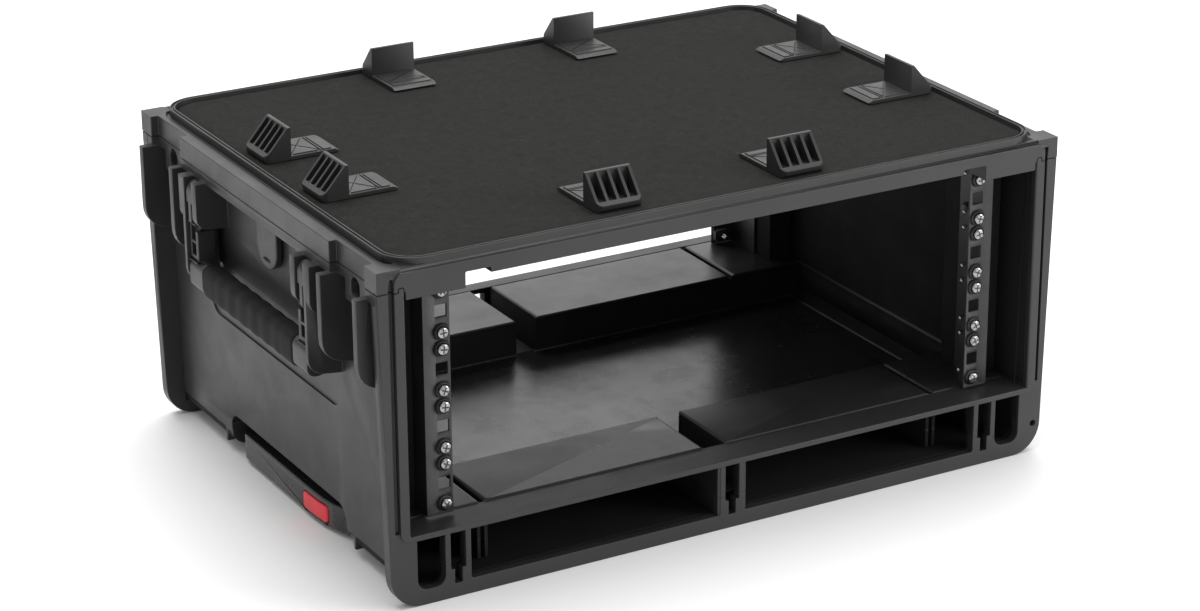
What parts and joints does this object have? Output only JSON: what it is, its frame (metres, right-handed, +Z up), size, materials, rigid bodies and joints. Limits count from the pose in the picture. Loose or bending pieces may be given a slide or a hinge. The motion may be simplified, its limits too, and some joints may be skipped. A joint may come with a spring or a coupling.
{
  "type": "equipment rack case",
  "caption": "Moulded rack case body with open front and rear, rack rails, folding side handle, pull handle, wheels and loose hook-backed cleats on a carpeted top.",
  "frame": {"origin": "middle of the ground footprint, on the surface the end frames stand on", "axes": "+X towards the wheel side, so the handles are at -X; +Y from the front opening to the rear opening; +Z up"},
  "size_m": [0.6016, 0.424, 0.2905],
  "materials": {
    "moulded_plastic": "fine moulded grain, semi-matt black",
    "gloss_plastic": "smooth black",
    "black_steel": "black powder coat",
    "grip_rubber": "soft matt black",
    "loop_carpet": "short loop pile, charcoal",
    "red_plastic": "satin red",
    "bright_chrome": "bright plated",
    "tube_aluminium": "satin anodised"
  },
  "bodies": {
    "case": {"case_tub": "moulded_plastic", "front_frame": "moulded_plastic", "rear_frame": "moulded_plastic", "top_frame": "moulded_plastic", "deck_panel": "moulded_plastic", "carpet": "loop_carpet", "pressure_valve": "moulded_plastic", "pull_bezel": "moulded_plastic", "rack_rail_front_left": "black_steel", "rack_rail_front_right": "black_steel", "rack_rail_rear_left": "black_steel", "rack_rail_rear_right": "black_steel", "rail_bolt_front_left_1": "black_steel", "rail_bolt_front_left_2": "black_steel", "rail_bolt_front_right_1": "black_steel", "rail_bolt_front_right_2": "black_steel", "rail_bolt_rear_left_1": "black_steel", "rail_bolt_rear_left_2": "black_steel", "rail_bolt_rear_right_1": "black_steel", "rail_bolt_rear_right_2": "black_steel", "rack_screw_left_1": "bright_chrome", "rack_screw_left_2": "bright_chrome", "rack_screw_left_3": "bright_chrome", "rack_screw_left_4": "bright_chrome", "rack_screw_left_5": "bright_chrome", "rack_screw_left_6": "bright_chrome", "rack_screw_left_7": "bright_chrome", "rack_screw_left_8": "bright_chrome", "rack_screw_right_1": "bright_chrome", "rack_screw_right_2": "bright_chrome", "rack_screw_right_3": "bright_chrome", "rack_screw_right_4": "bright_chrome", "rack_screw_right_5": "bright_chrome", "rack_screw_right_6": "bright_chrome", "rack_screw_right_7": "bright_chrome", "rack_screw_right_8": "bright_chrome", "handle_pin_front": "black_steel", "handle_pin_rear": "black_steel", "pull_sleeve_front": "black_steel", "pull_sleeve_rear": "black_steel", "wheel_axle_front": "black_steel", "wheel_axle_rear": "black_steel"},
    "carry_handle": {"carry_handle": "moulded_plastic", "carry_grip": "grip_rubber"},
    "pull_handle": {"pull_grip": "gloss_plastic", "pull_tube_front": "tube_aluminium", "pull_tube_rear": "tube_aluminium"},
    "release_button": {"release_button": "red_plastic"},
    "wheel_front": {"wheel_tyre_front": "grip_rubber", "wheel_hub_front": "moulded_plastic"},
    "wheel_rear": {"wheel_tyre_rear": "grip_rubber", "wheel_hub_rear": "moulded_plastic"},
    "cleat_1": {"cleat_1": "moulded_plastic"},
    "cleat_2": {"cleat_2": "moulded_plastic"},
    "cleat_3": {"cleat_3": "moulded_plastic"},
    "cleat_4": {"cleat_4": "moulded_plastic"},
    "cleat_5": {"cleat_5": "moulded_plastic"},
    "cleat_6": {"cleat_6": "moulded_plastic"},
    "cleat_7": {"cleat_7": "moulded_plastic"},
    "cleat_8": {"cleat_8": "moulded_plastic"}
  },
  "joints": [
    {"name": "carry_handle_swing", "type": "hinge", "parent": "case", "child": "carry_handle", "pos_m": [-0.2915, 0, 0.228], "axis": [0, 1, 0], "range_deg": [0, 90]},
    {"name": "pull_handle_slide", "type": "slide", "parent": "case", "child": "pull_handle", "axis": [-1, 0, 0], "range_m": [0, 0.36]},
    {"name": "release_button_press", "type": "slide", "parent": "pull_handle", "child": "release_button", "axis": [1, 0, 0], "range_m": [0, 0.003], "stiffness_N_per_m": 400, "springref_m": -0.002},
    {"name": "wheel_front_spin", "type": "hinge", "parent": "case", "child": "wheel_front", "pos_m": [0.271, -0.146, 0.0255], "axis": [0, 1, 0], "continuous": true},
    {"name": "wheel_rear_spin", "type": "hinge", "parent": "case", "child": "wheel_rear", "pos_m": [0.271, 0.146, 0.0255], "axis": [0, 1, 0], "continuous": true},
    {"name": "cleat_1_lift", "type": "slide", "parent": "case", "child": "cleat_1", "axis": [0, 0, 1], "range_m": [0, 0.06]},
    {"name": "cleat_2_lift", "type": "slide", "parent": "case", "child": "cleat_2", "axis": [0, 0, 1], "range_m": [0, 0.06]},
    {"name": "cleat_3_lift", "type": "slide", "parent": "case", "child": "cleat_3", "axis": [0, 0, 1], "range_m": [0, 0.06]},
    {"name": "cleat_4_lift", "type": "slide", "parent": "case", "child": "cleat_4", "axis": [0, 0, 1], "range_m": [0, 0.06]},
    {"name": "cleat_5_lift", "type": "slide", "parent": "case", "child": "cleat_5", "axis": [0, 0, 1], "range_m": [0, 0.06]},
    {"name": "cleat_6_lift", "type": "slide", "parent": "case", "child": "cleat_6", "axis": [0, 0, 1], "range_m": [0, 0.06]},
    {"name": "cleat_7_lift", "type": "slide", "parent": "case", "child": "cleat_7", "axis": [0, 0, 1], "range_m": [0, 0.06]},
    {"name": "cleat_8_lift", "type": "slide", "parent": "case", "child": "cleat_8", "axis": [0, 0, 1], "range_m": [0, 0.06]}
  ]
}
